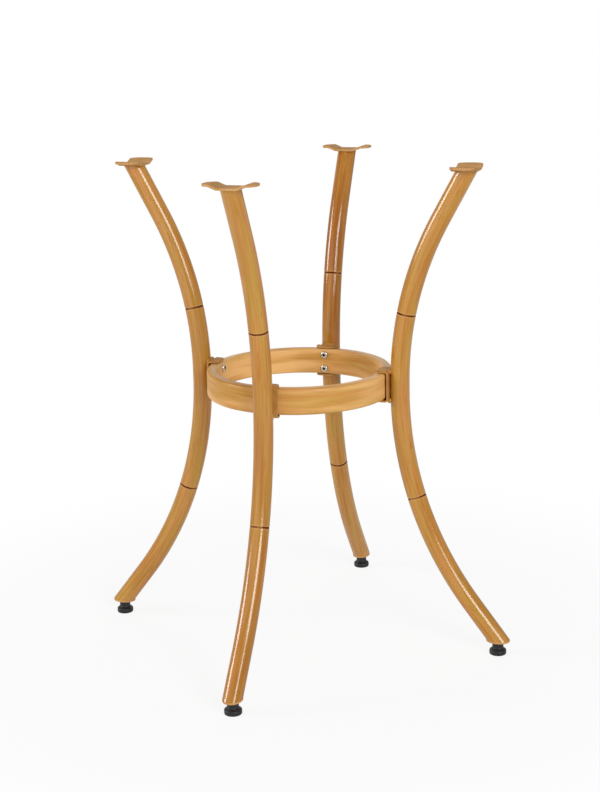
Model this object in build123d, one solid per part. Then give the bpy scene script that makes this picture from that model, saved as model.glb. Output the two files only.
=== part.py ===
from build123d import *
import math
import os

# Four-leg table base: four bowed tubes held at their waist by one ring, with a stamped bracket
# on top of each tube for the table top and a screw-in glide under it.
# Millimetres. Z is the centre line, the floor is Z = 0, and the front leg stands on -Y.

# Overall sizes
HEIGHT = 720.0  # floor to the faces that the table top lies on
FOOT_RADIUS = 303.0  # centre line to the axis of each glide
TOP_RADIUS = 252.0  # centre line to the middle of each top bracket
RING_HEIGHT = 400.0  # floor to the middle of the ring and of the legs' waist
LEG_ANGLES = {"front": -90.0, "right": 0.0, "back": 90.0, "left": 180.0}

# Leg tube, bent in one plane: straight, arc, short upright waist, arc, straight
TUBE_DIAMETER = 28.0
TUBE_WALL = 2.0
WAIST_LENGTH = 14.0
LOWER_STRAIGHT = 66.0
UPPER_STRAIGHT = 78.0
NODE_HEIGHTS = {  # two rolled rings make each tube look like a cane, at its own heights
    "front": (229.0, 507.0),
    "right": (234.0, 507.0),
    "back": (221.0, 530.0),
    "left": (222.0, 502.0),
}
NODE_GROOVE_WIDTH = 3.0
NODE_GROOVE_DEPTH = 0.6

# Ring, bent from a flat tube with rounded corners
RING_OUTER_RADIUS = 136.5
RING_THICKNESS = 16.0
RING_DEPTH = 39.0
RING_WALL = 2.0
RING_CORNER = 4.5

# Ring bracket, a folded channel welded to the leg and reaching over and under the ring
CHANNEL_SHEET = 2.5
CHANNEL_WIDTH = 31.0
CHANNEL_BEND = 2.5  # inside radius of the two folds
CHANNEL_RING_GAP = 1.0  # play between the ring and each flange
FLANGE_SETBACK = 2.0  # the flanges stop this far short of the ring's inner face
FLANGE_CORNER = 9.0
WELD_RADIUS = 3.6  # of the round bead in the groove between each fold and the tube
WELD_LENGTH = 21.0
WELD_END = 2.6  # round of the bead's ends
WELD_CLIMB = 0.4  # the bead's axis lies this far beyond the channel's outer face
WELD_GAP = 0.1

# Ring screws and the blind nuts that they go into
SCREW_DIAMETER = 6.0
SCREW_LENGTH = 30.0
SCREW_SPACING = 21.5
SCREW_END_CHAMFER = 0.8
HEAD_DIAMETER = 11.5
HEAD_HEIGHT = 3.3
HEAD_RIM = 0.7
SOCKET_WIDTH = 4.0  # across the flats
SOCKET_DEPTH = 2.0
SCREW_HOLE = 6.6
NUT_FLANGE_DIAMETER = 13.0
NUT_FLANGE = 2.0
NUT_BODY = 9.0
NUT_LENGTH = 13.0  # below the flange
NUT_BULGE_DIAMETER = 12.0
NUT_BULGE = 2.5
THREAD_CLEARANCE = 0.1
NUT_HOLE_CLEARANCE = 0.1

# Top bracket, a stamped strip with a dished middle and two raised ears
STRIP_LENGTH = 76.0
STRIP_WIDTH = 36.0
STRIP_SHEET = 3.0
STRIP_CORNER = 14.0
EAR_RISE = 4.5
EAR_LENGTH = 13.0
SADDLE_LENGTH = 28.0
STRIP_BEND = 6.0  # radius of the bends at mid thickness
EAR_HOLE = 6.5
EAR_HOLE_INSET = 7.0  # hole centre to the end of the strip

# End plate under the tube, with the threaded boss for the glide
END_PLATE = 3.0
END_PLATE_EDGE = 1.2
BOSS_DIAMETER = 13.0
BOSS_HEIGHT = 10.0

# Glide: a moulded pad on a steel stud
GLIDE_HEIGHT = 19.5  # floor to the underside of the end plate
GLIDE_SEAT_GAP = 0.3
PAD_DIAMETER = 25.0
PAD_SIDE = 6.5
PAD_EDGE = 1.5
PAD_FLARE = 3.5  # height over which the pad narrows to its neck
PAD_NECK = 16.5
STUD_DIAMETER = 8.0
STUD_CLEARANCE = 0.3  # radial, in the threaded boss
STUD_END_CHAMFER = 1.0
STUD_SOCKET_BOTTOM = 4.0  # plastic left under the stud
STUD_TIP = 1.0  # how far the stud stands past the boss

# Places that follow from the sizes above
TUBE_RADIUS = TUBE_DIAMETER / 2
TUBE_BORE = TUBE_RADIUS - TUBE_WALL
TUBE_BOTTOM = GLIDE_HEIGHT + END_PLATE
TUBE_TOP = HEIGHT - EAR_RISE - STRIP_SHEET
RING_INNER_RADIUS = RING_OUTER_RADIUS - RING_THICKNESS
CHANNEL_INSIDE = RING_OUTER_RADIUS + NUT_FLANGE
CHANNEL_OUTSIDE = CHANNEL_INSIDE + CHANNEL_SHEET
WAIST_RADIUS = CHANNEL_OUTSIDE + TUBE_RADIUS
WAIST_LOW = RING_HEIGHT - WAIST_LENGTH / 2
WAIST_HIGH = RING_HEIGHT + WAIST_LENGTH / 2
SCREW_HEIGHTS = (RING_HEIGHT - SCREW_SPACING / 2, RING_HEIGHT + SCREW_SPACING / 2)
BOSS_BORE = STUD_DIAMETER / 2 + STUD_CLEARANCE
BOSS_TOP = TUBE_BOTTOM + BOSS_HEIGHT


def bend(reach, rise, straight):
    """Radius and angle of the arc that leaves an upright run and flows into a straight of the
    given length, which ends at `reach` outward and `rise` along the upright."""
    tangent = (reach**2 + rise**2 - straight**2) / (2 * (straight + rise))
    angle = math.atan2(reach, rise - tangent)
    return tangent / math.tan(angle / 2), angle


LOWER_BEND, LOWER_ANGLE = bend(FOOT_RADIUS - WAIST_RADIUS, WAIST_LOW - TUBE_BOTTOM, LOWER_STRAIGHT)
UPPER_BEND, UPPER_ANGLE = bend(TOP_RADIUS - WAIST_RADIUS, TUBE_TOP - WAIST_HIGH, UPPER_STRAIGHT)


def lean_at(height):
    """Signed lean of the leg's centreline from the upright at a height, outward positive."""
    if height < WAIST_LOW:
        return -math.asin(min((WAIST_LOW - height) / LOWER_BEND, math.sin(LOWER_ANGLE)))
    if height > WAIST_HIGH:
        return math.asin(min((height - WAIST_HIGH) / UPPER_BEND, math.sin(UPPER_ANGLE)))
    return 0.0


def axis_point(height):
    """Point of the leg's centreline at a height, for a leg that stands on +X."""
    lean = abs(lean_at(height))
    radius, edge = (LOWER_BEND, WAIST_LOW) if height < RING_HEIGHT else (UPPER_BEND, WAIST_HIGH)
    if lean == 0.0:
        return Vector(WAIST_RADIUS, 0, height)
    past_arc = abs(height - edge) - radius * math.sin(lean)
    return Vector(WAIST_RADIUS + radius * (1 - math.cos(lean)) + past_arc * math.tan(lean), 0, height)


def leg_sweep(section):
    """A section swept along the leg's centreline and cut level at both ends."""
    overrun = 2 * TUBE_DIAMETER
    low_end = axis_point(TUBE_BOTTOM)
    high_end = axis_point(TUBE_TOP)
    low_way = Vector(-math.sin(LOWER_ANGLE), 0, math.cos(LOWER_ANGLE))
    high_way = Vector(math.sin(UPPER_ANGLE), 0, math.cos(UPPER_ANGLE))
    low_arc = axis_point(WAIST_LOW - LOWER_BEND * math.sin(LOWER_ANGLE))
    high_arc = axis_point(WAIST_HIGH + UPPER_BEND * math.sin(UPPER_ANGLE))
    low_waist = axis_point(WAIST_LOW)
    high_waist = axis_point(WAIST_HIGH)
    start = low_end - low_way * overrun
    path = Wire([
        Line(start, low_arc),
        TangentArc(low_arc, low_waist, tangent=low_way),
        Line(low_waist, high_waist),
        TangentArc(high_waist, high_arc, tangent=(0, 0, 1)),
        Line(high_arc, high_end + high_way * overrun),
    ])
    tube = sweep(Plane(origin=start, z_dir=low_way) * section, path=path)
    tube = split(tube, bisect_by=Plane.XY.offset(TUBE_BOTTOM), keep=Keep.TOP)
    return split(tube, bisect_by=Plane.XY.offset(TUBE_TOP), keep=Keep.BOTTOM)


def radial_pins(radius, start, end):
    """Two pins on the ring screws' axes, from one distance off the centre line to another."""
    along = Plane(origin=(start, 0, 0), z_dir=(1, 0, 0))
    pin = along * Cylinder(radius, end - start, align=(Align.CENTER, Align.CENTER, Align.MIN))
    return [Pos(0, 0, height) * pin for height in SCREW_HEIGHTS]


def make_leg_tube():
    """Bowed tube with the two holes for the blind nuts."""
    tube = leg_sweep(Circle(TUBE_RADIUS) - Circle(TUBE_BORE))
    return tube - radial_pins(NUT_BODY / 2 + NUT_HOLE_CLEARANCE, CHANNEL_INSIDE, WAIST_RADIUS)


def roll_nodes(tube, heights):
    """The tube with a round groove rolled across its centreline at each height."""
    half = NODE_GROOVE_WIDTH / 2
    roller = (half**2 + NODE_GROOVE_DEPTH**2) / (2 * NODE_GROOVE_DEPTH)
    groove = Torus(TUBE_RADIUS - NODE_GROOVE_DEPTH + roller, roller)
    for height in heights:
        lean = lean_at(height)
        tube -= Plane(origin=axis_point(height), z_dir=(math.sin(lean), 0, math.cos(lean))) * groove
    return tube


def make_ring_bracket():
    """Folded channel round the ring, with a weld bead along each fold, shaped to the tube."""
    tip = RING_INNER_RADIUS + FLANGE_SETBACK
    reach = CHANNEL_OUTSIDE - tip
    inside = RING_DEPTH + 2 * CHANNEL_RING_GAP
    web_side = (Align.MAX, Align.CENTER)
    outer = Rectangle(reach, inside + 2 * CHANNEL_SHEET, align=web_side)
    outer = fillet(outer.vertices().group_by(Axis.X)[-1], CHANNEL_BEND + CHANNEL_SHEET)
    inner = Rectangle(reach, inside, align=web_side)
    inner = fillet(inner.vertices().group_by(Axis.X)[-1], CHANNEL_BEND)
    profile = outer - Pos(-CHANNEL_SHEET, 0) * inner
    channel = extrude(Plane.XZ * profile, amount=CHANNEL_WIDTH / 2, both=True)
    plan = Rectangle(reach, CHANNEL_WIDTH, align=web_side)
    plan = fillet(plan.vertices().group_by(Axis.X)[0], FLANGE_CORNER)
    channel &= extrude(plan, amount=inside, both=True)
    channel = Pos(CHANNEL_OUTSIDE, 0, RING_HEIGHT) * channel
    bead = Cylinder(WELD_RADIUS, WELD_LENGTH)
    bead = Rot(90, 0, 0) * fillet(bead.edges().filter_by(GeomType.CIRCLE), WELD_END)
    rise = inside / 2 - CHANNEL_BEND + WELD_RADIUS
    beads = [Pos(CHANNEL_OUTSIDE + WELD_CLIMB, 0, RING_HEIGHT + way * rise) * bead for way in (-1, 1)]
    seat = leg_sweep(Circle(TUBE_RADIUS + WELD_GAP))
    bracket = channel + [bead - seat for bead in beads]
    return bracket - radial_pins(NUT_BODY / 2 + NUT_HOLE_CLEARANCE, CHANNEL_INSIDE, WAIST_RADIUS)


def make_top_bracket():
    """Stamped strip across the top of the tube, dished in the middle, with two drilled ears."""
    end = STRIP_LENGTH / 2
    ear = end - EAR_LENGTH
    saddle = SADDLE_LENGTH / 2
    low = TUBE_TOP + STRIP_SHEET / 2
    high = low + EAR_RISE
    line = FilletPolyline(
        (-end, high), (-ear, high), (-saddle, low), (saddle, low), (ear, high), (end, high),
        radius=STRIP_BEND,
    )
    strip = extrude(Plane.YZ * trace(line, STRIP_SHEET), amount=STRIP_WIDTH / 2, both=True)
    outline = RectangleRounded(STRIP_WIDTH, STRIP_LENGTH, STRIP_CORNER)
    strip &= Pos(0, 0, TUBE_TOP) * extrude(outline, amount=EAR_RISE + 2 * STRIP_SHEET)
    drill = Cylinder(EAR_HOLE / 2, 2 * HEIGHT)
    for side in (-1, 1):
        strip -= Pos(0, side * (end - EAR_HOLE_INSET), 0) * drill
    return Pos(TOP_RADIUS, 0, 0) * strip


def make_end_plate():
    """Plate in the outline of the slanted tube's level cut, with a threaded boss inside the tube."""
    plate = extrude(Ellipse(TUBE_RADIUS / math.cos(LOWER_ANGLE), TUBE_RADIUS), amount=END_PLATE)
    plate = fillet(plate.faces().sort_by(Axis.Z)[0].edges(), END_PLATE_EDGE)
    upright = (Align.CENTER, Align.CENTER, Align.MIN)
    plate += Pos(0, 0, END_PLATE) * Cylinder(BOSS_DIAMETER / 2, BOSS_HEIGHT, align=upright)
    plate -= Cylinder(BOSS_BORE, END_PLATE + BOSS_HEIGHT, align=upright)
    return Pos(FOOT_RADIUS, 0, GLIDE_HEIGHT) * plate


def make_glide_pad():
    """Moulded pad: a flat foot that flares in to a neck, with a socket for the stud."""
    foot = PAD_DIAMETER / 2
    neck = PAD_NECK / 2
    top = GLIDE_HEIGHT - GLIDE_SEAT_GAP
    shoulder = PAD_SIDE + PAD_FLARE
    outline = Polyline((0, 0), (foot, 0), (foot, PAD_SIDE), (neck, shoulder), (neck, top), (0, top), close=True)
    profile = make_face(outline)
    corners = profile.vertices().filter_by(lambda corner: corner.X > 0 and corner.Y < top)
    profile = fillet(corners, PAD_EDGE)
    pad = revolve(Plane.XZ * profile, axis=Axis.Z)
    socket = Cylinder(
        STUD_DIAMETER / 2, top - STUD_SOCKET_BOTTOM, align=(Align.CENTER, Align.CENTER, Align.MIN)
    )
    pad -= Pos(0, 0, STUD_SOCKET_BOTTOM) * socket
    return Pos(FOOT_RADIUS, 0, 0) * pad


def make_glide_stud():
    """Steel stud from the pad up through the end plate's boss."""
    length = BOSS_TOP + STUD_TIP - STUD_SOCKET_BOTTOM
    stud = Cylinder(STUD_DIAMETER / 2, length, align=(Align.CENTER, Align.CENTER, Align.MIN))
    stud = chamfer(stud.faces().sort_by(Axis.Z)[-1].edges(), STUD_END_CHAMFER)
    return Pos(FOOT_RADIUS, 0, STUD_SOCKET_BOTTOM) * stud


def make_ring():
    """Flat tube bent to a ring, drilled through both walls for the screws of every leg."""
    section = RectangleRounded(RING_THICKNESS, RING_DEPTH, RING_CORNER)
    section -= RectangleRounded(
        RING_THICKNESS - 2 * RING_WALL, RING_DEPTH - 2 * RING_WALL, RING_CORNER - RING_WALL
    )
    middle = RING_OUTER_RADIUS - RING_THICKNESS / 2
    ring = revolve(Plane.XZ * Pos(middle, RING_HEIGHT) * section, axis=Axis.Z)
    pins = radial_pins(SCREW_HOLE / 2, RING_INNER_RADIUS - RING_WALL, RING_OUTER_RADIUS + RING_WALL)
    for angle in LEG_ANGLES.values():
        ring -= [Rot(0, 0, angle) * pin for pin in pins]
    return ring


def make_ring_screw():
    """Domed socket screw along +X, its seat at the origin."""
    head = HEAD_DIAMETER / 2
    shank = SCREW_DIAMETER / 2
    tip = SCREW_END_CHAMFER
    side = Polyline(
        (0, SCREW_LENGTH), (shank - tip, SCREW_LENGTH), (shank, SCREW_LENGTH - tip),
        (shank, 0), (head, 0), (head, -HEAD_RIM),
    )
    crown = HEAD_DIAMETER / 4
    dome = EllipticalCenterArc(
        (crown, -HEAD_RIM), head - crown, HEAD_HEIGHT - HEAD_RIM, start_angle=270, arc_size=90,
    )
    closing = Polyline((crown, -HEAD_HEIGHT), (0, -HEAD_HEIGHT), (0, SCREW_LENGTH))
    screw = revolve(Plane.XZ * make_face([side, dome, closing]), axis=Axis.Z)
    socket = RegularPolygon(SOCKET_WIDTH / 2, 6, major_radius=False)
    screw -= Pos(0, 0, -HEAD_HEIGHT) * extrude(socket, amount=SOCKET_DEPTH)
    return Plane(origin=(0, 0, 0), z_dir=(1, 0, 0)) * screw


def make_blind_nut():
    """Flanged blind nut along +X, set through channel and tube, its flange's face at the origin."""
    bore = SCREW_DIAMETER / 2 + THREAD_CLEARANCE
    body = NUT_BODY / 2
    bulge = NUT_BULGE_DIAMETER / 2
    flange = NUT_FLANGE_DIAMETER / 2
    wall = WAIST_RADIUS - math.sqrt(TUBE_BORE**2 - bulge**2) - RING_OUTER_RADIUS
    end = NUT_FLANGE + NUT_LENGTH
    profile = make_face(Polyline(
        (bore, 0), (flange, 0), (flange, NUT_FLANGE), (body, NUT_FLANGE), (body, wall),
        (bulge, wall), (bulge, wall + NUT_BULGE), (body, wall + NUT_BULGE), (body, end), (bore, end),
        close=True,
    ))
    nut = revolve(Plane.XZ * profile, axis=Axis.Z)
    return Plane(origin=(0, 0, 0), z_dir=(1, 0, 0)) * nut


def ring_set(piece, radius):
    """Copies of a fastener on every ring screw's axis, with its origin at a distance off centre."""
    return Compound(children=[
        Rot(0, 0, angle) * Pos(radius, 0, height) * piece
        for angle in LEG_ANGLES.values()
        for height in SCREW_HEIGHTS
    ])


def main():
    os.makedirs("parts", exist_ok=True)
    tube = make_leg_tube()
    per_leg = {
        "top_bracket": make_top_bracket(),
        "ring_bracket": make_ring_bracket(),
        "end_plate": make_end_plate(),
        "glide_pad": make_glide_pad(),
        "glide_stud": make_glide_stud(),
    }
    for side, angle in LEG_ANGLES.items():
        leg = roll_nodes(tube, NODE_HEIGHTS[side])
        export_step(Rot(0, 0, angle) * leg, f"parts/leg_{side}.step")
        for name, piece in per_leg.items():
            export_step(Rot(0, 0, angle) * piece, f"parts/{name}_{side}.step")
    head_seat = math.sqrt(RING_INNER_RADIUS**2 - (HEAD_DIAMETER / 2) ** 2)
    export_step(make_ring(), "parts/ring.step")
    export_step(ring_set(make_ring_screw(), head_seat), "parts/ring_screws.step")
    export_step(ring_set(make_blind_nut(), RING_OUTER_RADIUS), "parts/ring_blind_nuts.step")


main()
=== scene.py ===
import math
import bmesh
import bpy
import numpy as np
from mathutils import Matrix, Vector


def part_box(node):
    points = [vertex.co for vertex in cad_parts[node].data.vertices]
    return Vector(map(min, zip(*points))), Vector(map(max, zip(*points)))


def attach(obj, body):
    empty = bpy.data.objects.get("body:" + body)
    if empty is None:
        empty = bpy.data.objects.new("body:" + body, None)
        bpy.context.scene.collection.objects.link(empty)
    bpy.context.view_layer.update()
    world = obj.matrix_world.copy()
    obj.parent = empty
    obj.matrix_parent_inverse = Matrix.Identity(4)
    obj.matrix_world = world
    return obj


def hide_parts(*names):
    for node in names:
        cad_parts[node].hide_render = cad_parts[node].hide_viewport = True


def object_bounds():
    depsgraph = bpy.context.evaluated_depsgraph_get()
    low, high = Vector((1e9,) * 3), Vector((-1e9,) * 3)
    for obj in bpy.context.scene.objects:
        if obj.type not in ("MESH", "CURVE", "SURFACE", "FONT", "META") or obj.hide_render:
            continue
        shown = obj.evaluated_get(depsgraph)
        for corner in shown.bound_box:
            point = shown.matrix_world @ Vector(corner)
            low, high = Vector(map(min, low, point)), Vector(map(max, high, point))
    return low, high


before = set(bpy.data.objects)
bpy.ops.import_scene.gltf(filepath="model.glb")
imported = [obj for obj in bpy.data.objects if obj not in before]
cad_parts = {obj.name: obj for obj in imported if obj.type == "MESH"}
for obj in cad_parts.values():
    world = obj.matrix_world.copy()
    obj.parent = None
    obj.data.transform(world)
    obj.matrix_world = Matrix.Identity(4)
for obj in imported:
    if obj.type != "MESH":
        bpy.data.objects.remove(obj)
cad_low, cad_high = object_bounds()

# Legs
# Each leg is an aluminium tube, bent in one upright plane and cut level at both ends. It is printed
# with cane streaks and lacquered, and a darker print is laid over parts of some legs as painted shade.
# Two grooves rolled round it are filled with dark paint, like the nodes of a cane, with a pale band of
# painted highlight beside each. Its waist is welded to a ring bracket.

LEG_ANGLES = {"front": -90.0, "right": 0.0, "back": 90.0, "left": 180.0}
NODE_HEIGHTS = {
    "front": (0.229, 0.507),
    "right": (0.234, 0.507),
    "back": (0.221, 0.530),
    "left": (0.222, 0.502),
}
DARK_PRINT_AND_SHADE = {  # share of the darker print below and above each leg's waist, also painted shade: heaviest on the back leg's upper part and the front leg's lower part
    "front": (0.58, 0.03),
    "right": (0.16, 0.10),
    "back": (0.00, 0.92),
    "left": (0.00, 0.16),
}
DARK_PRINT_AND_SHADE_FADE = (-0.05, 0.05)  # from the waist, where the one share goes over into the other
NODE_WIDTH = 0.003
NODE_DEPTH = 0.0006
NODE_PAINT_EDGE = (0.0010, 0.0017)  # from a node's middle, where its dark paint fades out
NODE_HIGHLIGHT_EDGE = (0.0018, 0.0042)  # from a node's middle, where the painted highlight beside it fades out
TUBE_WALL = 0.002
WAIST_LENGTH = 0.014
LOWER_STRAIGHT = 0.066
UPPER_STRAIGHT = 0.078
TUBE_COLUMNS = 112
ROW_SPACING = 0.003
NODE_ROW_SPACING = 0.0003
BORE_ROWS = 80
BORE_NODE_GAP = 10 * NODE_WIDTH  # the bore has no node, so its rows count as this far from one
END_ROWS = 0.030  # the rows of this length at each end slide to make the level cut
LINE_SAMPLES = 4000  # lengths at which the centreline is read back from its height
RIM_ANGLE = math.radians(50)  # edges sharper than this stay sharp


def box_middle(node):
    """Middle of a CAD node's box."""
    low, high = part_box(node)
    return (low + high) / 2


leg_low, leg_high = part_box("leg_right")
tube_radius = (leg_high.y - leg_low.y) / 2
tube_bottom = leg_low.z
tube_top = leg_high.z
waist_radius = leg_low.x + tube_radius
foot_radius = box_middle("glide_pad_right").x
top_radius = box_middle("top_bracket_right").x
ring_height = box_middle("ring").z


def bend(reach, rise, straight):
    """Radius and angle of the arc that leaves an upright run and flows into a straight of the given
    length: the two tangents of an arc are equal, which gives the arc's tangent length from the end
    point by Pythagoras, and the angle from the slope of the straight."""
    tangent = (reach**2 + rise**2 - straight**2) / (2 * (straight + rise))
    angle = math.atan2(reach, rise - tangent)
    return tangent / math.tan(angle / 2), angle


half_waist = WAIST_LENGTH / 2
lower_rise = ring_height - half_waist - tube_bottom
upper_rise = tube_top - ring_height - half_waist
lower_bend, lower_angle = bend(foot_radius - waist_radius, lower_rise, LOWER_STRAIGHT)
upper_bend, upper_angle = bend(top_radius - waist_radius, upper_rise, UPPER_STRAIGHT)
lowest_along = -(half_waist + lower_bend * lower_angle + LOWER_STRAIGHT)
highest_along = half_waist + upper_bend * upper_angle + UPPER_STRAIGHT
tube_turn = np.linspace(0, 2 * np.pi, TUBE_COLUMNS, endpoint=False)


def leg_line(along):
    """Distance off the centre line, height and lean of a leg's centreline at lengths from the middle
    of its waist: upright over the waist, then an arc whose lean is length over radius, then straight."""
    up = np.where(along > 0, 1.0, -1.0)
    radius = np.where(along > 0, upper_bend, lower_bend)
    full = np.where(along > 0, upper_angle, lower_angle)
    past_waist = np.maximum(np.abs(along) - half_waist, 0)
    lean = np.minimum(past_waist / radius, full)
    past_arc = past_waist - lean * radius
    out = waist_radius + radius * (1 - np.cos(lean)) + past_arc * np.sin(lean)
    rise = np.minimum(np.abs(along), half_waist) + radius * np.sin(lean) + past_arc * np.cos(lean)
    return out, ring_height + up * rise, up * lean


def node_lengths(side):
    """Length along the centreline at which each node of a leg lies, read back from its height."""
    along = np.linspace(lowest_along, highest_along, LINE_SAMPLES)
    return np.interp(NODE_HEIGHTS[side], leg_line(along)[1], along)


def leg_rows(nodes):
    """Lengths along the centreline for the rows of a leg's skin, close together at each node."""
    even = np.arange(lowest_along, highest_along, ROW_SPACING)
    fine = np.arange(-NODE_WIDTH, NODE_WIDTH, NODE_ROW_SPACING)
    far = np.abs(even[:, None] - nodes).min(axis=1) > NODE_WIDTH
    return np.sort(np.concatenate([even[far], *(fine + node for node in nodes), [highest_along]]))


def groove_depth(gap):
    """Depth of the node grooves at distances from the nearest node: the arc of a roller, whose radius
    follows by Pythagoras from the groove's full depth at the node and half its width to each side."""
    roller = ((NODE_WIDTH / 2) ** 2 + NODE_DEPTH**2) / (2 * NODE_DEPTH)
    return np.maximum(np.sqrt(np.maximum(roller**2 - gap**2, 0)) - roller + NODE_DEPTH, 0)


def tube_skin(along, radius, angle):
    """Points of a leg's skin. Each row is a circle square to the centreline, with its own radius, and
    the rows near an end slide along by the radius times the tangent of the lean, towards the side that
    the tube leans to, so that the end is cut level. The leg stands at the given angle round Z."""
    low_share = np.clip(1 - (along - lowest_along) / END_ROWS, 0, 1)[:, None]
    high_share = np.clip(1 - (highest_along - along) / END_ROWS, 0, 1)[:, None]
    outward = radius[:, None] * np.cos(tube_turn)
    sideways = radius[:, None] * np.sin(tube_turn)
    slide = outward * (high_share * math.tan(upper_angle) - low_share * math.tan(lower_angle))
    out, height, lean = leg_line(along[:, None] + slide)
    out = out + outward * np.cos(lean)
    height = height - outward * np.sin(lean)
    cosine, sine = math.cos(math.radians(angle)), math.sin(math.radians(angle))
    return np.stack([out * cosine - sideways * sine, out * sine + sideways * cosine, height], axis=-1)


def grid_mesh(name, points, rows_closed):
    """A mesh of quads over a grid of points, closed round its columns and, if asked, round its rows."""
    index = np.arange(points.shape[0] * points.shape[1]).reshape(points.shape[:2])
    index = np.hstack([index, index[:, :1]])
    if rows_closed:
        index = np.vstack([index, index[:1]])
    corners = [index[:-1, :-1], index[:-1, 1:], index[1:, 1:], index[1:, :-1]]
    mesh = bpy.data.meshes.new(name)
    mesh.from_pydata(points.reshape(-1, 3), [], np.stack(corners, axis=-1).reshape(-1, 4))
    mesh.shade_smooth()
    return mesh


def write_values(mesh, name, values):
    """Writes one value per point of a mesh as its attribute."""
    layer = mesh.attributes.new(name, "FLOAT", "POINT")
    layer.data.foreach_set("value", values.astype(np.float32).ravel())


def write_print_place(mesh, *parts):
    """Writes where the print lies on a mesh, two parts across it and one along, for every point."""
    places = np.stack(np.broadcast_arrays(*parts), axis=-1)
    layer = mesh.attributes.new("print_place", "FLOAT_VECTOR", "POINT")
    layer.data.foreach_set("vector", places.astype(np.float32).ravel())


def place(mesh, material, body, slot, *nodes):
    """Puts a finished mesh into the scene in the place of CAD nodes, on a body, with its finish."""
    mesh.materials.clear()
    mesh.materials.append(material)
    piece = bpy.data.objects.new(mesh.name, mesh)
    bpy.context.scene.collection.objects.link(piece)
    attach(piece, body)
    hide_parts(*nodes)
    return piece


def tint(red, green, blue):
    """A colour as a screen shows it, 0 to 255, as the linear colour that a shader takes."""
    shown = np.array([red, green, blue]) / 255
    linear = np.where(shown > 0.04045, ((shown + 0.055) / 1.055) ** 2.4, shown / 12.92)
    return (*linear.tolist(), 1.0)


def new_material(name):
    """A new material, its node tree and its shader."""
    material = bpy.data.materials.new(name)
    material.use_nodes = True
    return material, material.node_tree, material.node_tree.nodes["Principled BSDF"]


def add_node(tree, kind, inputs, **settings):
    """A shader node with its settings, each named input set to a value or linked to a socket."""
    made = tree.nodes.new(kind)
    for name, value in settings.items():
        setattr(made, name, value)
    for name, value in inputs.items():
        if isinstance(value, bpy.types.NodeSocket):
            tree.links.new(value, made.inputs[name])
        else:
            made.inputs[name].default_value = value
    return made


def object_place(tree):
    """Socket of the Object coordinates."""
    return add_node(tree, "ShaderNodeTexCoord", {}).outputs["Object"]


def attribute(tree, name, output):
    """Socket of a mesh attribute."""
    return add_node(tree, "ShaderNodeAttribute", {}, attribute_name=name).outputs[output]


def times(tree, first, second):
    """Socket with the product of two values."""
    return add_node(tree, "ShaderNodeMath", {0: first, 1: second}, operation="MULTIPLY").outputs[0]


def mix_colour(tree, share, first, second):
    """Colour socket that goes from the first colour to the second by a share."""
    inputs = {0: share, 6: first, 7: second}
    return add_node(tree, "ShaderNodeMix", inputs, data_type="RGBA").outputs[2]


def ramp(tree, value, start, end, low=0.0, high=1.0):
    """Socket that goes smoothly from low to high as a value goes from start to end."""
    inputs = {"Value": value, 1: start, 2: end, 3: low, 4: high}
    made = add_node(tree, "ShaderNodeMapRange", inputs, interpolation_type="SMOOTHSTEP")
    return made.outputs["Result"]


def stretched_noise(tree, place_socket, across, along, detail):
    """Noise drawn out along the third axis: a number of features per metre across, another along."""
    scaled = add_node(tree, "ShaderNodeVectorMath", {0: place_socket, 1: (across, across, along)},
                      operation="MULTIPLY")
    noise = add_node(tree, "ShaderNodeTexNoise",
                     {"Vector": scaled.outputs[0], "Scale": 1.0, "Detail": detail})
    return noise.outputs["Fac"]


def add_bump(tree, shader, height, strength, distance):
    """Bump from a height socket, laid over the normal that a shader already has."""
    inputs = {"Height": height, "Strength": strength, "Distance": distance}
    normal = shader.inputs["Normal"]
    if normal.is_linked:
        inputs["Normal"] = normal.links[0].from_socket
    bump = add_node(tree, "ShaderNodeBump", inputs)
    tree.links.new(bump.outputs["Normal"], normal)


def start_group(name, outputs):
    """An empty node group that takes a place and puts out values."""
    group = bpy.data.node_groups.new(name, "ShaderNodeTree")
    group.interface.new_socket("Place", in_out="INPUT", socket_type="NodeSocketVector")
    for title in outputs:
        group.interface.new_socket(title, in_out="OUTPUT", socket_type="NodeSocketFloat")
    place_socket = group.nodes.new("NodeGroupInput").outputs["Place"]
    return group, place_socket, group.nodes.new("NodeGroupOutput").inputs


# Printed cane streaks: bands, narrow fibres, short dashes and broad patches, all along the third axis
STREAKS = {  # features per metre across and along, detail, and the noise levels where each comes in
    "Band": (160, 9, 3, 0.32, 0.68),
    "Fibre": (380, 12, 5, 0.35, 0.65),
    "Dash": (330, 28, 1, 0.66, 0.74),
    "Patch": (75, 6, 2, 0.48, 0.64),
}
cane_streaks, streak_place, streak_out = start_group("cane_streaks", STREAKS)
for title, (across, along, detail, start, end) in STREAKS.items():
    noise = stretched_noise(cane_streaks, streak_place, across, along, detail)
    cane_streaks.links.new(ramp(cane_streaks, noise, start, end), streak_out[title])

# Sprayed lacquer: a shallow orange-peel swell, and patches where the paint under it is a little rougher
lacquer_skin, skin_place, skin_out = start_group("lacquer_skin", ["Swell", "Dull"])
swell = stretched_noise(lacquer_skin, skin_place, 260, 260, 2)
dull = stretched_noise(lacquer_skin, skin_place, 35, 35, 3)
lacquer_skin.links.new(swell, skin_out["Swell"])
lacquer_skin.links.new(ramp(lacquer_skin, dull, 0.35, 0.7), skin_out["Dull"])

CANE_YELLOW = tint(185, 142, 44)
CANE_ORANGE = tint(199, 129, 56)
CANE_DARK_AND_SHADE = tint(158, 90, 0)
CANE_LAYERS = {  # the most of each streak that shows over the bands, and its colour
    "Patch": (0.48, tint(174, 103, 0)),
    "Fibre": (0.45, tint(207, 156, 82)),
    "Dash": (0.4, tint(146, 80, 26)),
}
NODE_PAINTED_HIGHLIGHT = tint(208, 152, 84)
NODE_PAINT = tint(96, 46, 20)
LEG_COAT = 0.9
COAT_IOR = 1.55


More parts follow.
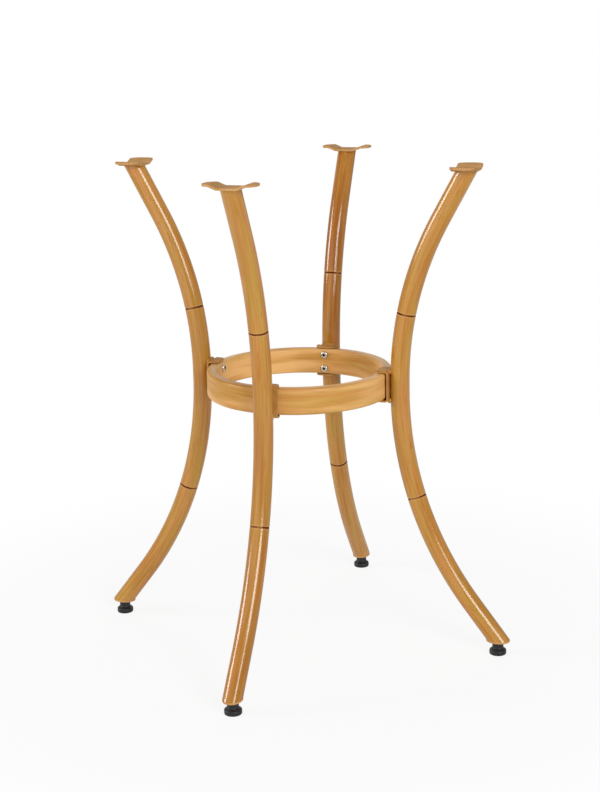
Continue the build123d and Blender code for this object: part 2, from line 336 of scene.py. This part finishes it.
def lacquered(name, coat, haze):
    """A material with a clear coat of some weight and haze over a paint that has no shine of its own. It
    gives back the material, its tree, its shader and the Object coordinates."""
    material, tree, shader = new_material(name)
    shader.inputs["Specular IOR Level"].default_value = 0.0
    shader.inputs["Coat Weight"].default_value = coat
    shader.inputs["Coat IOR"].default_value = COAT_IOR
    shader.inputs["Coat Roughness"].default_value = haze
    here = object_place(tree)
    skin = add_node(tree, "ShaderNodeGroup", {"Place": here}, node_tree=lacquer_skin).outputs
    tree.links.new(ramp(tree, skin["Dull"], 0.0, 1.0, 0.36, 0.5), shader.inputs["Roughness"])
    add_bump(tree, shader, skin["Swell"], strength=0.06, distance=0.0004)
    return material, tree, shader, here


def cane_print(tree):
    """Colour socket of the print, which follows the piece by its own attribute of place."""
    inputs = {"Place": attribute(tree, "print_place", "Vector")}
    streaks = add_node(tree, "ShaderNodeGroup", inputs, node_tree=cane_streaks).outputs
    colour = mix_colour(tree, streaks["Band"], CANE_YELLOW, CANE_ORANGE)
    for title, (most, tone) in CANE_LAYERS.items():
        share = ramp(tree, streaks[title], 0.0, 1.0, 0.0, most)
        colour = mix_colour(tree, share, colour, tone)
    return colour


leg_finish, tree, shader, here = lacquered("cane_print_lacquer", coat=LEG_COAT, haze=0.16)
broad = stretched_noise(tree, attribute(tree, "print_place", "Vector"), 110, 7, 2)
# The darker print comes in broad random patches, and by the per-leg shares it is also painted shade on
# the back leg's upper part and the front leg's lower part.
dark_print_and_shade_share = times(tree, attribute(tree, "dark_print_and_shade", "Fac"), ramp(tree, broad, 0.35, 0.62, 0.45, 1.0))
node_gap = attribute(tree, "node_gap", "Fac")
# A pale band beside each node groove is a painted highlight, for the light on the groove's lip.
node_highlight_share = ramp(tree, node_gap, *NODE_HIGHLIGHT_EDGE, 0.5, 0.0)
worn = ramp(tree, stretched_noise(tree, here, 60, 60, 1), 0.36, 0.56, 0.6, 1.0)
node_line = times(tree, ramp(tree, node_gap, *NODE_PAINT_EDGE, 1.0, 0.0), worn)
colour = mix_colour(tree, dark_print_and_shade_share, cane_print(tree), CANE_DARK_AND_SHADE)
colour = mix_colour(tree, node_highlight_share, colour, NODE_PAINTED_HIGHLIGHT)
colour = mix_colour(tree, node_line, colour, NODE_PAINT)
tree.links.new(colour, shader.inputs["Base Color"])
tree.links.new(ramp(tree, node_line, 0.0, 1.0, LEG_COAT, 0.0), shader.inputs["Coat Weight"])

bore_along = np.linspace(highest_along, lowest_along, BORE_ROWS)
for number, (side, angle) in enumerate(LEG_ANGLES.items()):
    nodes = node_lengths(side)
    along = leg_rows(nodes)
    gap = np.abs(along[:, None] - nodes).min(axis=1)
    outside = tube_skin(along, tube_radius - groove_depth(gap), angle)
    inside = tube_skin(bore_along, np.full(BORE_ROWS, tube_radius - TUBE_WALL), angle)
    mesh = grid_mesh(f"cane_leg_{side}", np.concatenate([outside, inside]), True)
    mesh.set_sharp_from_angle(angle=RIM_ANGLE)
    all_along = np.concatenate([along, bore_along])
    length = all_along[:, None] + number * (highest_along - lowest_along)
    write_print_place(mesh, tube_radius * np.cos(tube_turn), tube_radius * np.sin(tube_turn), length)
    share = np.interp(all_along, DARK_PRINT_AND_SHADE_FADE, DARK_PRINT_AND_SHADE[side])
    write_values(mesh, "dark_print_and_shade", np.repeat(share, TUBE_COLUMNS))
    all_gaps = np.concatenate([gap, np.full(BORE_ROWS, BORE_NODE_GAP)])
    write_values(mesh, "node_gap", np.repeat(all_gaps, TUBE_COLUMNS))
    place(mesh, leg_finish, "frame", "cane_lacquer", f"leg_{side}")

# Ring
# The ring is a flat aluminium tube with rounded corners, bent to a hoop with its wide face upright and
# welded shut. It has the print of the legs under a thinner lacquer, lightened by broad pale streaks that
# are painted light for the strong light on its wide faces, and carries all four of them.

RING_CORNER = 0.0045
RING_CORNER_ROWS = 9
RING_COLUMNS = 360
RING_PAINTED_LIGHT = tint(242, 191, 126)


def rounded_line(corners, radius, steps):
    """A line through corner points with an arc at each inner corner: the arc starts where its radius
    over the tangent of half the opening is left of the run, and turns by the change of heading."""
    corners = np.array(corners, float)
    pieces = [corners[:1]]
    for before, corner, after in zip(corners, corners[1:], corners[2:]):
        back = (before - corner) / np.linalg.norm(before - corner)
        ahead = (after - corner) / np.linalg.norm(after - corner)
        opening = math.acos(np.clip(back @ ahead, -1, 1))
        middle = (back + ahead) / np.linalg.norm(back + ahead)
        centre = corner + middle * radius / math.sin(opening / 2)
        sweep = (np.pi - opening) * np.linspace(-0.5, 0.5, steps)[:, None]
        crosswise = (ahead - back) / np.linalg.norm(ahead - back)
        pieces.append(centre + radius * (np.sin(sweep) * crosswise - np.cos(sweep) * middle))
    pieces.append(corners[-1:])
    return np.concatenate(pieces)


def ring_section():
    """The ring's section as out and height, a rectangle with rounded corners, taken clockwise from the
    middle of its upper edge. The inner radius is the least distance of the CAD ring off the centre."""
    low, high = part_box("ring")
    ring_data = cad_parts["ring"].data
    places = np.empty(len(ring_data.vertices) * 3, np.float32)
    ring_data.vertices.foreach_get("co", places)
    inner = float(np.hypot(places[0::3], places[1::3]).min())
    middle = (inner + high.x) / 2
    corners = [(middle, high.z), (high.x, high.z), (high.x, low.z), (inner, low.z), (inner, high.z),
               (middle, high.z)]
    return rounded_line(corners, RING_CORNER, RING_CORNER_ROWS)[:-1]


def ring_skin(section, turn):
    """Points of a section of out and height carried round Z."""
    out, height = section.T
    return np.stack(np.broadcast_arrays(
        out * np.cos(turn)[:, None], out * np.sin(turn)[:, None], height), axis=-1)


ring_finish, tree, shader, _ = lacquered("ring_print_lacquer", coat=0.40, haze=0.28)
zone = stretched_noise(tree, attribute(tree, "print_place", "Vector"), 55, 6, 2)
# Broad pale streaks lighten the ring: painted light for the strong light on its wide faces.
ring_light_share = ramp(tree, zone, 0.36, 0.62, 0.15, 0.75)
colour = mix_colour(tree, ring_light_share, cane_print(tree), RING_PAINTED_LIGHT)
tree.links.new(colour, shader.inputs["Base Color"])

ring_turn = np.linspace(-np.pi, np.pi, RING_COLUMNS, endpoint=False)
section = ring_section()
ring_mesh = grid_mesh("cane_ring", ring_skin(section, ring_turn), True)
hoop_radius = section[:, 0].mean()
hoop_length = np.abs(ring_turn)[:, None] * hoop_radius
write_print_place(ring_mesh, section[:, 0] - hoop_radius, section[:, 1], hoop_length)
ring = place(ring_mesh, ring_finish, "frame", "cane_lacquer", "ring")
ring.modifiers.new("flat_faces", "WEIGHTED_NORMAL")

# Ring brackets and top brackets
# The ring bracket is a channel folded from aluminium strip, welded to the leg's waist and reaching over
# and under the ring. The top bracket is a stamped strip on the upper end of the tube, with a drilled ear
# at each end for the table top. Both are lacquered in a plain gold, without the print.

EDGE_BREAK = 0.0004
EDGE_STEPS = 2
EDGE_ANGLE = math.radians(35)  # edges sharper than this are broken
FLAT_ANGLE = math.radians(0.5)  # neighbouring triangles closer than this become one face
MERGE_DISTANCE = 1e-6
WELD_RIPPLE = 0.0017  # from crest to crest
WELD_RADIUS = 0.0036
WELD_REACH = 0.0105  # from the middle of the bead to its ends
WELD_OUT = 0.1414  # from the centre line to the bead's axis
WELD_RISE = 0.0216  # from the ring's middle to the bead's axis


def merged_copy(node, name):
    """A copy of a CAD node with its loose triangles joined and its flat faces made whole."""
    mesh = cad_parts[node].data.copy()
    mesh.name = name
    work = bmesh.new()
    work.from_mesh(mesh)
    bmesh.ops.remove_doubles(work, verts=work.verts, dist=MERGE_DISTANCE)
    bmesh.ops.dissolve_limit(work, angle_limit=FLAT_ANGLE, verts=work.verts, edges=work.edges)
    work.to_mesh(mesh)
    work.free()
    mesh.shade_smooth()
    return mesh


def place_copy(node, name, material, body, slot, width):
    """Puts a merged copy of a CAD node in its place, with a small round of some width on its sharp
    edges and its flat faces left flat."""
    piece = place(merged_copy(node, name), material, body, slot, node)
    bevel = piece.modifiers.new("edge_break", "BEVEL")
    bevel.width = width
    bevel.segments = EDGE_STEPS
    bevel.limit_method = "ANGLE"
    bevel.angle_limit = EDGE_ANGLE
    piece.modifiers.new("flat_faces", "WEIGHTED_NORMAL")


def paint_gold(tree, shader, here, light, dark):
    """Gives a shader the plain gold under the lacquer, which is a little darker in broad patches."""
    patch = stretched_noise(tree, here, 45, 45, 3)
    colour = mix_colour(tree, ramp(tree, patch, 0.3, 0.7), light, dark)
    tree.links.new(colour, shader.inputs["Base Color"])


def square_place(tree, here):
    """Distance off the centre line, distance to the side and distance from the ring's middle height,
    as three sockets, of a point near one of the four legs: the larger and the smaller of the two
    level distances, which are the same for every leg, and the size of the upright one."""
    middle = add_node(tree, "ShaderNodeVectorMath", {0: here, 1: (0, 0, ring_height)},
                      operation="SUBTRACT")
    size = add_node(tree, "ShaderNodeVectorMath", {0: middle.outputs[0]}, operation="ABSOLUTE")
    parts = add_node(tree, "ShaderNodeSeparateXYZ", {"Vector": size.outputs[0]}).outputs
    out = add_node(tree, "ShaderNodeMath", {0: parts["X"], 1: parts["Y"]}, operation="MAXIMUM")
    aside = add_node(tree, "ShaderNodeMath", {0: parts["X"], 1: parts["Y"]}, operation="MINIMUM")
    return out.outputs[0], aside.outputs[0], parts["Z"]


def distance_to(tree, first, second, first_place, second_place):
    """Distance of two sockets, taken as a point in a plane, from a place in that plane."""
    point = add_node(tree, "ShaderNodeCombineXYZ", {"X": first, "Y": second})
    apart = add_node(tree, "ShaderNodeVectorMath",
                     {0: point.outputs[0], 1: (first_place, second_place, 0)}, operation="DISTANCE")
    return apart.outputs["Value"]


strip_finish, tree, shader, here = lacquered("strip_lacquer", coat=0.12, haze=0.45)
paint_gold(tree, shader, here, tint(206, 160, 106), tint(190, 142, 86))

channel_finish, tree, shader, here = lacquered("channel_lacquer", coat=0.22, haze=0.38)
paint_gold(tree, shader, here, tint(196, 146, 80), tint(182, 128, 62))
out, aside, rise = square_place(tree, here)
from_bead = distance_to(tree, out, rise, WELD_OUT, WELD_RISE)
on_bead = times(tree, ramp(tree, from_bead, WELD_RADIUS, 1.1 * WELD_RADIUS, 1.0, 0.0),
                ramp(tree, aside, 0.9 * WELD_REACH, WELD_REACH, 1.0, 0.0))
phase = times(tree, aside, 2 * math.pi / WELD_RIPPLE)
wave = add_node(tree, "ShaderNodeMath", {0: phase}, operation="SINE").outputs[0]
add_bump(tree, shader, times(tree, wave, on_bead), strength=0.5, distance=0.0002)

for side in LEG_ANGLES:
    place_copy(f"top_bracket_{side}", f"top_strip_{side}", strip_finish, "frame", "cane_lacquer",
               EDGE_BREAK)
    place_copy(f"ring_bracket_{side}", f"ring_channel_{side}", channel_finish, "frame", "cane_lacquer",
               EDGE_BREAK)

# End plates
# A plate closes the level lower end of each slanted tube, ground flush with it and lacquered. The boss
# inside holds the thread of the glide.

for side in LEG_ANGLES:
    place_copy(f"end_plate_{side}", f"foot_plate_{side}", strip_finish, "frame", "cane_lacquer",
               EDGE_BREAK / 2)

# Ring screws and blind nuts
# Two zinc-plated socket screws go through the ring into each bracket. They turn into blind nuts, whose
# flanges lie between ring and bracket.

SCREW_OFFSET = 0.01075  # of each screw's axis from the ring's middle
SOCKET_REACH = 0.0026  # from the axis, just past the socket's corners
SOCKET_MOUTH = 0.1173  # from the centre line, just inside the head's face
SOCKET_FADE = 0.0003  # depth over which the painted shade in the socket comes in
SOCKET_PAINTED_SHADE = tint(38, 32, 26)


def plated(name, dull, bright, smooth, rough):
    """A plated steel whose colour and gloss change a little in a fine bloom. It gives back the material,
    its tree, its shader, the Object coordinates and the colour socket."""
    material, tree, shader = new_material(name)
    shader.inputs["Metallic"].default_value = 1.0
    here = object_place(tree)
    bloom = stretched_noise(tree, here, 900, 900, 3)
    tree.links.new(ramp(tree, bloom, 0.25, 0.75, smooth, rough), shader.inputs["Roughness"])
    colour = mix_colour(tree, ramp(tree, bloom, 0.3, 0.7), dull, bright)
    tree.links.new(colour, shader.inputs["Base Color"])
    return material, tree, shader, here, colour


screw_finish, tree, shader, here, colour = plated(
    "screw_zinc", tint(190, 180, 164), tint(204, 196, 182), smooth=0.22, rough=0.34)
out, aside, rise = square_place(tree, here)
# The socket's walls and floor are painted dark: painted shade for the shade in the recess.
near_axis = ramp(tree, distance_to(tree, aside, rise, 0.0, SCREW_OFFSET),
                 SOCKET_REACH, 1.1 * SOCKET_REACH, 1.0, 0.0)
deep = ramp(tree, out, SOCKET_MOUTH, SOCKET_MOUTH + SOCKET_FADE)
colour = mix_colour(tree, times(tree, near_axis, deep), colour, SOCKET_PAINTED_SHADE)
tree.links.new(colour, shader.inputs["Base Color"])
nut_finish, *_ = plated("nut_zinc", tint(150, 126, 88), tint(170, 146, 106), smooth=0.5, rough=0.7)

place_copy("ring_screws", "socket_screws", screw_finish, "frame", "bright_steel", EDGE_BREAK / 3)
place_copy("ring_blind_nuts", "blind_nuts", nut_finish, "frame", "bright_steel", EDGE_BREAK / 3)

# Glides
# Each foot is a moulded black pad on a steel stud. The stud screws up and down in the end plate, so that
# the table can be set level.

STUD_PITCH = 0.00125
STUD_THREAD_DEPTH = 0.0006
STUD_COLUMNS = 48
STUD_PITCH_ROWS = 8  # rows of points in each pitch
STUD_MERGE_DISTANCE = 1e-7
RUB_HEIGHT = 0.003  # of the part of the pad that the floor has rubbed

pad_finish, tree, shader = new_material("moulded_black")
here = object_place(tree)
grain = stretched_noise(tree, here, 1400, 1400, 3)
scuff = stretched_noise(tree, here, 300, 300, 4)
height = add_node(tree, "ShaderNodeSeparateXYZ", {"Vector": here}).outputs["Z"]
floor_rub = times(tree, ramp(tree, height, 0.0, RUB_HEIGHT, 1.0, 0.0), ramp(tree, scuff, 0.4, 0.65))
colour = mix_colour(tree, floor_rub, tint(15, 14, 17), tint(38, 37, 37))
tree.links.new(colour, shader.inputs["Base Color"])
tree.links.new(ramp(tree, grain, 0.3, 0.7, 0.36, 0.5), shader.inputs["Roughness"])
add_bump(tree, shader, grain, strength=0.15, distance=0.0002)

stud_finish, *_ = plated("stud_zinc", tint(196, 194, 188), tint(218, 216, 212), smooth=0.2, rough=0.36)


def stud_skin(centre, radius, bottom, top):
    """Points of a threaded stud: a helix whose radius falls by the thread's depth and comes back once
    in each pitch, closed by a point at both ends."""
    turn = np.linspace(0, 2 * np.pi, STUD_COLUMNS, endpoint=False)
    height = np.arange(bottom, top, STUD_PITCH / STUD_PITCH_ROWS)[:, None]
    phase = height / STUD_PITCH - turn / (2 * np.pi)
    out = radius - STUD_THREAD_DEPTH * np.abs(2 * (phase % 1) - 1)
    out = np.minimum(out, radius - STUD_THREAD_DEPTH + (top - height))
    out = np.concatenate([0 * turn[None], out, 0 * turn[None]])
    height = np.concatenate([height[:1], height, height[-1:]])
    return np.stack(np.broadcast_arrays(
        centre.x + out * np.cos(turn), centre.y + out * np.sin(turn), height), axis=-1)


for side in LEG_ANGLES:
    place_copy(f"glide_pad_{side}", f"glide_foot_{side}", pad_finish, f"glide_{side}", "black_plastic",
               EDGE_BREAK)
    low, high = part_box(f"glide_stud_{side}")
    points = stud_skin((low + high) / 2, (high.x - low.x) / 2, low.z, high.z)
    mesh = grid_mesh(f"glide_thread_{side}", points, False)
    work = bmesh.new()
    work.from_mesh(mesh)
    bmesh.ops.remove_doubles(work, verts=work.verts, dist=STUD_MERGE_DISTANCE)
    work.to_mesh(mesh)
    work.free()
    place(mesh, stud_finish, f"glide_{side}", "bright_steel", f"glide_stud_{side}")

# Studio
# A plain white floor that keeps a faint shadow, a white room that is darker where a gloss mirrors it,
# two soft boxes far off that draw the narrow bright lines along the tubes, and near ones in front,
# behind and overhead.

FLOOR_REACH = 6.0
FLOOR_GREY = (0.86, 0.86, 0.86, 1)
SHADOW_REACH = (0.3, 0.9)  # from the middle, where the floor's own shading fades out
SHADOW_WHITE = 0.88  # share of plain white that covers that shading near the middle
ROOM_IN_GLOSS = 0.45  # share of the room's white that a gloss mirrors
ROOM_LIGHT = 0.10  # strength of the light that the room gives
WHITE = (1, 1, 1, 1)
SOFT_BOXES = {  # azimuth and elevation in degrees, distance, width and height in metres, power in watts
    "right_key": (48.0, 22.5, 8.0, 3.0, 3.9, 407.0),
    "left_key": (-70.0, 19.0, 8.0, 2.9, 2.6, 300.0),
    "front_fill": (-20.0, 14.0, 3.0, 3.0, 2.4, 20.0),
    "back_fill": (200.0, 25.0, 3.0, 3.0, 2.4, 24.0),
    "overhead": (0.0, 89.0, 2.4, 2.4, 2.4, 7.0),
}

floor_mesh = bpy.data.meshes.new("studio_floor")
corners = [(-FLOOR_REACH, -FLOOR_REACH, 0), (FLOOR_REACH, -FLOOR_REACH, 0),
           (FLOOR_REACH, FLOOR_REACH, 0), (-FLOOR_REACH, FLOOR_REACH, 0)]
floor_mesh.from_pydata(corners, [], [(0, 1, 2, 3)])
floor = bpy.data.objects.new("studio_floor", floor_mesh)
bpy.context.scene.collection.objects.link(floor)


def seen_white(tree):
    """Share of the room's white that a ray meets: all of it where the camera looks, less in a gloss, as
    in a studio that is dark outside its lamps, and none for the light that the room gives."""
    rays = add_node(tree, "ShaderNodeLightPath", {}).outputs
    in_gloss = times(tree, rays["Is Glossy Ray"], ROOM_IN_GLOSS)
    seen = add_node(tree, "ShaderNodeMath", {0: rays["Is Camera Ray"], 1: in_gloss}, operation="MAXIMUM")
    return seen.outputs[0]


floor_finish, tree, shader = new_material("studio_white")
shader.inputs["Base Color"].default_value = FLOOR_GREY
shader.inputs["Roughness"].default_value = 0.9
shader.inputs["Specular IOR Level"].default_value = 0.0
glow = add_node(tree, "ShaderNodeEmission", {"Color": WHITE, "Strength": 1.0})
clear = add_node(tree, "ShaderNodeBsdfTransparent", {})
here = object_place(tree)
off_centre = add_node(tree, "ShaderNodeVectorMath", {0: here}, operation="LENGTH").outputs["Value"]
glow_share = times(tree, seen_white(tree), ramp(tree, off_centre, *SHADOW_REACH, SHADOW_WHITE))
lit = add_node(tree, "ShaderNodeMixShader", {0: glow_share, 1: shader.outputs[0], 2: glow.outputs[0]})
under = add_node(tree, "ShaderNodeNewGeometry", {}).outputs["Backfacing"]
both = add_node(tree, "ShaderNodeMixShader", {0: under, 1: lit.outputs[0], 2: clear.outputs[0]})
tree.links.new(both.outputs[0], tree.nodes["Material Output"].inputs["Surface"])
floor_mesh.materials.append(floor_finish)

world = bpy.data.worlds.new("white_room")
bpy.context.scene.world = world
world.use_nodes = True
tree = world.node_tree
strength = ramp(tree, seen_white(tree), 0.0, 1.0, ROOM_LIGHT, 1.0)
background = tree.nodes["Background"]
background.inputs["Color"].default_value = WHITE
tree.links.new(strength, background.inputs["Strength"])


def soft_box(name, azimuth, elevation, distance, width, height, power):
    """A rectangular lamp that faces the middle of the object from a direction. Azimuth 0 is the front."""
    turn = math.radians(azimuth)
    rise = math.radians(elevation)
    way = Vector((math.sin(turn) * math.cos(rise), -math.cos(turn) * math.cos(rise), math.sin(rise)))
    lamp = bpy.data.lights.new(name, "AREA")
    lamp.shape = "RECTANGLE"
    lamp.size = width
    lamp.size_y = height
    lamp.energy = power
    holder = bpy.data.objects.new(name, lamp)
    holder.location = (cad_low + cad_high) / 2 + way * distance
    holder.rotation_euler = way.to_track_quat("Z", "Y").to_euler()
    bpy.context.scene.collection.objects.link(holder)


for name, values in SOFT_BOXES.items():
    soft_box(name, *values)

# Camera
# It stands where the photographer stood: a little to the right of the front leg and above the table
# top's height, with a long lens and a slight tilt.

CAMERA_AZIMUTH = math.radians(19.27)
CAMERA_ELEVATION = math.radians(14.23)
CAMERA_DISTANCE = 2.409
CAMERA_TILT = math.radians(-1.21)
CAMERA_AIM = Vector((0.0007, 0.0003, 0.3745))
CAMERA_LENS = 73.67

back = Vector((
    math.sin(CAMERA_AZIMUTH) * math.cos(CAMERA_ELEVATION),
    -math.cos(CAMERA_AZIMUTH) * math.cos(CAMERA_ELEVATION),
    math.sin(CAMERA_ELEVATION),
))
across = Vector((math.cos(CAMERA_AZIMUTH), math.sin(CAMERA_AZIMUTH), 0))
upward = back.cross(across)
tilted_across = math.cos(CAMERA_TILT) * across + math.sin(CAMERA_TILT) * upward
tilted_upward = math.cos(CAMERA_TILT) * upward - math.sin(CAMERA_TILT) * across
lens = bpy.data.cameras.new("camera")
lens.lens = CAMERA_LENS
camera = bpy.data.objects.new("camera", lens)
turned = Matrix((tilted_across, tilted_upward, back)).transposed()
stand = CAMERA_AIM + back * CAMERA_DISTANCE
camera.matrix_world = Matrix.LocRotScale(stand, turned.to_quaternion(), None)
bpy.context.scene.collection.objects.link(camera)
bpy.context.scene.camera = camera
bpy.context.scene.view_settings.view_transform = "Standard"
